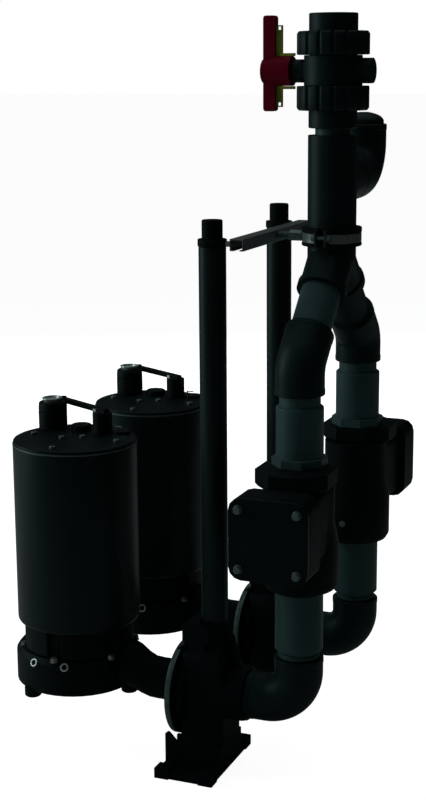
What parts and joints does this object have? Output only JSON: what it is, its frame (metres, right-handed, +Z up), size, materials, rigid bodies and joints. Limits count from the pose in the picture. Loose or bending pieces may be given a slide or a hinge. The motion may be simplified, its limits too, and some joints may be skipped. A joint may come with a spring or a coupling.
{
  "type": "duplex sewage pump station",
  "caption": "Fixed sewage lifting plant: submersible pumps on duck feet and guide rails, check valves, Y-joined risers and a union ball valve outlet.",
  "frame": {"origin": "underside of the front duck foot, on the axis of the front guide rail", "axes": "+Z up, +X from the guide rails to the risers, +Y from the front train to the rear train"},
  "size_m": [0.5618, 0.59, 1.198],
  "materials": {
    "coated_steel": "satin coating",
    "cast_iron": "coated casting",
    "cover_iron": "smooth coating",
    "grey_plastic": "satin",
    "light_plastic": "satin",
    "rail_steel": "drawn tube",
    "zinc_steel": "zinc plated",
    "rubber": "matt",
    "red_plastic": "moulded",
    "yellow_plastic": "moulded"
  },
  "bodies": {
    "station": {"front_foot": "cast_iron", "front_guide_rail": "rail_steel", "front_rail_plug": "rubber", "front_bottom_elbow": "grey_plastic", "front_lower_adapter": "light_plastic", "front_check_valve": "cast_iron", "front_check_valve_cover": "cover_iron", "front_upper_adapter": "light_plastic", "front_upper_bend": "grey_plastic", "front_inclined_pipe": "light_plastic", "rear_foot": "cast_iron", "rear_guide_rail": "rail_steel", "rear_rail_plug": "rubber", "rear_bottom_elbow": "grey_plastic", "rear_lower_adapter": "light_plastic", "rear_check_valve": "cast_iron", "rear_check_valve_cover": "cover_iron", "rear_upper_adapter": "light_plastic", "rear_upper_bend": "grey_plastic", "rear_inclined_pipe": "light_plastic", "y_fitting": "grey_plastic", "tee": "grey_plastic", "flush_elbow": "grey_plastic", "flush_plug": "grey_plastic", "strut_channel": "zinc_steel", "clamp_rod": "zinc_steel", "clamp_half_rail_side": "zinc_steel", "clamp_half_far_side": "zinc_steel", "valve_nipple": "light_plastic", "valve_lower_end": "grey_plastic", "valve_lower_nut": "grey_plastic", "valve_body": "grey_plastic", "valve_upper_nut": "grey_plastic", "valve_upper_end": "grey_plastic"},
    "front_pump": {"front_motor_shell": "coated_steel", "front_motor_cover": "cover_iron", "front_pump_bracket": "cast_iron", "front_volute": "cast_iron", "front_cable_gland": "cast_iron", "front_lifting_handle": "cast_iron", "front_claw": "cast_iron"},
    "rear_pump": {"rear_motor_shell": "coated_steel", "rear_motor_cover": "cover_iron", "rear_pump_bracket": "cast_iron", "rear_volute": "cast_iron", "rear_cable_gland": "cast_iron", "rear_lifting_handle": "cast_iron", "rear_claw": "cast_iron"},
    "lever": {"valve_handle": "red_plastic", "handle_insert": "yellow_plastic"}
  },
  "joints": [
    {"name": "front_pump_lift", "type": "slide", "parent": "station", "child": "front_pump", "axis": [0, 0, 1], "range_m": [0, 0.6]},
    {"name": "rear_pump_lift", "type": "slide", "parent": "station", "child": "rear_pump", "axis": [0, 0, 1], "range_m": [0, 0.6]},
    {"name": "valve_handle_turn", "type": "hinge", "parent": "station", "child": "lever", "pos_m": [0.1428, 0.15, 1.111], "axis": [1, 0, 0], "range_deg": [0, 90]}
  ]
}
